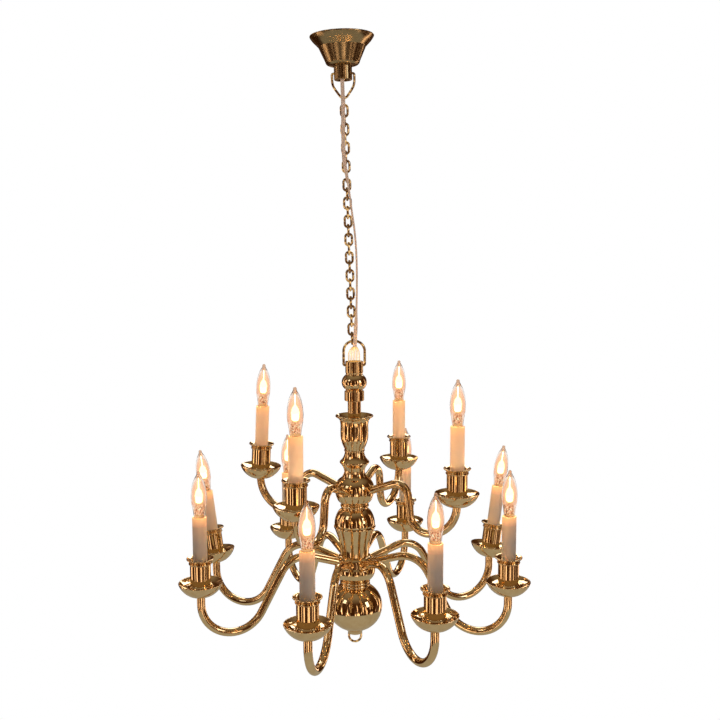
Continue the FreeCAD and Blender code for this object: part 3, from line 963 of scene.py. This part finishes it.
# One candle, from its pan's rim plane at z = 0.
PAN_DEPTH, SLEEVE_R, SLEEVE_BORE_R, SLEEVE_TOP = 2.8, 1.41, 1.1, 13.3
PAN = outline(
    (0, -PAN_DEPTH),
    [(1.0, -PAN_DEPTH)],
    [(2.2, -2.5), (3.3, -1.75), (4.1, -0.75), (4.4, -0.1)],
    [(4.4, 0)],
    [(4.28, 0)],
    [(3.95, -0.25), (3.3, -0.6), (2.45, -0.8)],
    [(0, -0.8)],
)
CUP = outline(
    (0, -0.8),
    [(2.3, -0.8)],
    [(2.3, -0.6)],
    [(2.05, -0.35)],
    [(2.05, 3.75)],
    [(2.28, 3.95), (2.08, 4.15)],
    [(2.2, 4.4)],
    [(2.7, 4.78)],
    [(2.7, 4.95)],
    [(2.6, 5.0)],
    [(2.2, 4.9)],
    [(1.75, 4.6)],
    [(SLEEVE_R, 4.2)],
    [(SLEEVE_R, 0)],
    [(0, 0)],
)
SLEEVE = outline(
    (SLEEVE_BORE_R, 0),
    [(SLEEVE_R, 0)],
    [(SLEEVE_R, SLEEVE_TOP - 0.15)],
    [(SLEEVE_R - 0.04, SLEEVE_TOP - 0.04), (SLEEVE_R - 0.15, SLEEVE_TOP)],
    [(SLEEVE_BORE_R, SLEEVE_TOP)],
)
PLUG = outline(
    (0, 10.0),
    [(0.9, 10.0)],
    [(1.05, 10.2)],
    [(1.05, 13.38)],
    [(0.95, 13.38)],
    [(0.95, 13.8)],
    [(0, 13.8)],
    edge=0.04,
)
GLASS = outline(
    (0.95, 13.38),
    [(1.08, 13.38)],
    [(1.17, 14.3), (1.42, 15.8), (1.54, 17.2), (1.48, 18.4), (1.24, 19.8)]
    + [(0.82, 21.0), (0.47, 21.65), (0.32, 22.0)],
    [(0.3, 22.3), (0, 22.45)],
    [(0, 21.5)],
    [(0.15, 21.5)],
    [(0.6, 20.95), (1.1, 19.65), (1.37, 18.35), (1.44, 17.2), (1.32, 15.8), (1.0, 13.9)],
)
CORE = outline(
    (0, 16.05),
    [(0.36, 16.1), (0.6, 16.35), (0.72, 16.9), (0.7, 18.0), (0.52, 18.6)]
    + [(0.17, 19.1), (0.08, 19.9), (0.04, 20.9), (0, 21.3)],
)
WARMTH = outline(
    (0, 15.4),
    [(0.5, 15.5), (0.88, 16.0), (1.05, 17.2), (0.96, 18.4), (0.62, 19.6), (0.3, 20.7), (0, 21.35)],
)
HALO = outline(
    (0, 15.1),
    [(0.75, 15.2), (1.18, 15.6), (1.4, 17.2), (1.33, 18.3), (1.07, 19.5), (0.57, 20.7), (0, 21.45)],
)
PRESS = outline(
    (0, 13.85),
    [(0.4, 13.86), (0.88, 13.95), (0.95, 14.6), (0.85, 15.3), (0.55, 16.0), (0, 16.4)],
)
BULB_HEIGHT, LAMP_HEIGHT = 22.4, 17.6

# Colours of a sleeve's lighter and darker tone, which mix in random blotches, and the bulb's light deep
# inside it, a painted glow. The upper tier's tones are painted lighter and warmer as painted bulb light, and
# the lower tier's darker as painted shade.
SLEEVE_COLOURS = {
    "upper": ((0.80, 0.75, 0.69), (0.73, 0.68, 0.61), (0.20, 0.09, 0.035)),
    "lower": ((0.68, 0.65, 0.62), (0.61, 0.58, 0.55), (0.0, 0.0, 0.0)),
}
# Colours of the light at its foot, its middle and its tip.
CORE_COLOURS = ((1.0, 0.55, 0.2), (1.0, 0.6, 0.24), (1.0, 0.66, 0.34))
WARMTH_COLOURS = ((1.0, 0.58, 0.20), (1.0, 0.78, 0.36), (1.0, 0.82, 0.50))
HALO_COLOURS = ((0.82, 0.36, 0.18), (0.96, 0.54, 0.34), (0.97, 0.60, 0.42))


def build_candles():
    glass = bulb_glass()
    tubes = {name: sleeve_plastic("candle_sleeve_" + name, *SLEEVE_COLOURS[name]) for name in TIERS}
    core = glow("bulb_core", CORE_COLOURS, 30.0, 1.0, 14.8, BULB_HEIGHT)
    warmth = glow("bulb_warmth", WARMTH_COLOURS, 1.25, 0.65, 14.6, 22.0)
    halo = glow("bulb_halo", HALO_COLOURS, 1.05, 0.72, 14.6, 21.9)
    foot_light = press()
    wire = hot("bulb_filament", (1.0, 0.55, 0.18), 3.0)
    plug = brass("bulb_plug", (0.5, 0.5, 9), 0.0012, (0.5, 0.5, 0.7), 0.04)
    post, low, high = 0.34, 13.8, 16.94
    corners = [(-post, 0, low), (-post, 0, high), (post, 0, high), (post, 0, low)]
    hoop = bent(corners, [0, 0.339, 0.339, 0])
    pans, cups = [], []
    for name, tier in TIERS.items():
        arms, sleeves = [], []
        sets = list(zip(tier["turns"], tier["lifts"], tier["leans"]))
        for n, (turn, lift, lean) in enumerate(sets):
            angle = tier["first"] + 360 / len(sets) * n + turn
            around = Matrix.Rotation(math.radians(angle - 90), 4, "Z")
            arms.append(moved(swept(arm_path(tier, lift), ARM_R, 28), around))
            r, z = tier["pan"]
            foot = Matrix.Translation((0, 0, -PAN_DEPTH))
            tip = Matrix.Rotation(math.radians(lean), 4, "Y")
            stand = around @ Matrix.Translation((r, 0, z + lift)) @ foot @ tip @ foot.inverted()
            pans.append(moved(spun(PAN, 72), stand))
            cups.append(moved(spun(CUP, 56), stand))
            sleeves.append(moved(spun(SLEEVE, 48), stand))
            body = "bulb_%s_%d" % (name, n + 1)
            bulb = piece(body + "_glass", moved(spun(GLASS, 48), stand), glass, body, body)
            bulb.visible_shadow = False
            piece(body + "_plug", moved(spun(PLUG, 32), stand), plug, body)
            piece(body + "_filament", moved(swept(hoop, 0.07, 8), stand), wire, body)
            for part, loop, look in (
                ("_core", CORE, core),
                ("_warmth", WARMTH, warmth),
                ("_halo", HALO, halo),
                ("_press", PRESS, foot_light),
            ):
                light = piece(body + part, moved(spun(loop, 32), stand), look, body)
                light.visible_shadow = False
            lamp = bpy.data.lights.new(body + "_light", "POINT")
            lamp.energy = 0.0036
            lamp.color = (1.0, 0.52, 0.22)
            lamp.shadow_soft_size = 0.9 * MM
            holder = bpy.data.objects.new(body + "_light", lamp)
            scene.collection.objects.link(holder)
            holder.location = (HANG @ stand @ Vector((0, 0, LAMP_HEIGHT))) * MM
            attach(holder, body)
        brass_piece(name + "_tier_arms", arms, DRAWN, "fixture", name + "_arms")
        piece(name + "_tier_sleeves", sleeves, tubes[name], "fixture", "candle_sleeves")
    brass_piece("pans", pans, SPUN, "fixture", "drip_pans")
    brass_piece("cups", cups, TURNED, "fixture", "candle_cups")


# ------------------------------------------------------------------ studio
# Seen directly the studio is plain white. The brass reflects a dim room over a pale table.
ROOM, BARS = (0.045, 0.014, 0.003), (3.2, 2.25, 1.6)


def seen_and_reflected(t, white, reflected):
    path = t.add("LightPath")
    seen = t.math("MAXIMUM", path.outputs["Is Camera Ray"], path.outputs["Is Transmission Ray"])
    return t.add("MixShader", {0: seen, 1: reflected.outputs[0], 2: white.outputs[0]})


def streaks(t, x, y, rise):
    """Bright upright bars round the dim room, such as door frames and windows, from 0 to 1."""
    level = t.add("CombineXYZ", {0: x, 1: y, 2: rise}).outputs[0]
    level = t.add("VectorMath", {0: level}, operation="NORMALIZE").outputs[0]
    uneven = t.noise(level, (4.6, 4.6, 4.6), 2, 0.65)
    return t.ramp(uneven, (0.53, 0.0), (0.56, 0.06), (0.595, 0.09), (0.622, 1.0))


def build_studio():
    world = bpy.data.worlds.new("studio")
    scene.world = world
    t = Tree(world)
    ray = t.add("SeparateXYZ", {0: t.add("TexCoord").outputs["Generated"]}).outputs
    bars = streaks(t, ray[0], ray[1], t.math("MULTIPLY", ray[2], 0.1))
    up = t.math("MULTIPLY_ADD", ray[2], 0.5, 0.5)
    low_wall, high_wall, ceiling = (0.09, 0.038, 0.012), (0.07, 0.03, 0.01), (0.24, 0.19, 0.13)
    walls = t.ramp(up, (0.3, low_wall), (0.5, ROOM), (0.75, high_wall), (0.95, ceiling))
    reach = t.ramp(up, (0.35, 1.0), (0.62, 1.0), (0.8, 0.0))
    room = t.mix(t.math("MULTIPLY", bars, reach), walls, BARS)
    white = t.add("Background", {"Color": (1.0, 1.0, 1.0), "Strength": 1.0})
    dim = t.add("Background", {"Color": room, "Strength": 1.0})
    t.add("OutputWorld", {"Surface": seen_and_reflected(t, white, dim).outputs[0]})

    half, low = 1.5, -0.32
    mesh = bpy.data.meshes.new("floor")
    corners = [(-half, -half, low), (half, -half, low), (half, half, low), (-half, half, low)]
    mesh.from_pydata(corners, [], [(0, 1, 2, 3)])
    floor = bpy.data.objects.new("floor", mesh)
    scene.collection.objects.link(floor)
    made, t = new_material("floor_paper")
    where = t.add("TexCoord").outputs["Object"]
    at = t.add("SeparateXYZ", {0: where}).outputs
    mottle = t.noise(where, (3, 3, 3), 3, 0.5)
    paper = t.mix(mottle, (0.42, 0.40, 0.35), (0.34, 0.32, 0.27))
    flat = t.add("CombineXYZ", {0: at[0], 1: at[1]}).outputs[0]
    away = t.add("VectorMath", {0: flat}, operation="LENGTH").outputs["Value"]
    beyond = t.mix(streaks(t, at[0], at[1], -0.04), ROOM, BARS)
    colour = t.mix(t.ramp(t.math("MULTIPLY", away, 0.5), (0.19, 0.0), (0.21, 1.0)), paper, beyond)
    white = t.add("Emission", {"Color": (1.0, 1.0, 1.0), "Strength": 1.0})
    pale = t.add("Emission", {"Color": colour, "Strength": 1.0})
    t.surface(seen_and_reflected(t, white, pale))
    mesh.materials.append(made)


def area(name, place, size, watts, colour=(1, 1, 1)):
    """A soft lamp that faces the middle of the chandelier."""
    lamp = bpy.data.lights.new(name, "AREA")
    lamp.shape = "RECTANGLE"
    lamp.size, lamp.size_y = size[0] * MM, size[1] * MM
    lamp.energy = watts
    lamp.color = colour
    holder = bpy.data.objects.new(name, lamp)
    scene.collection.objects.link(holder)
    holder.location = Vector(place) * MM
    towards = Vector((0, 0, -80)) * MM - holder.location
    holder.rotation_euler = towards.to_track_quat("-Z", "Y").to_euler()


build_canopy()
build_bails()
build_chain()
build_lead()
build_stem()
build_candles()
build_studio()
area("key", (-420, -330, 260), (150, 190), 0.15)
area("fill", (460, -300, 60), (120, 240), 0.25)
area("back", (60, 480, 240), (420, 240), 0.9)
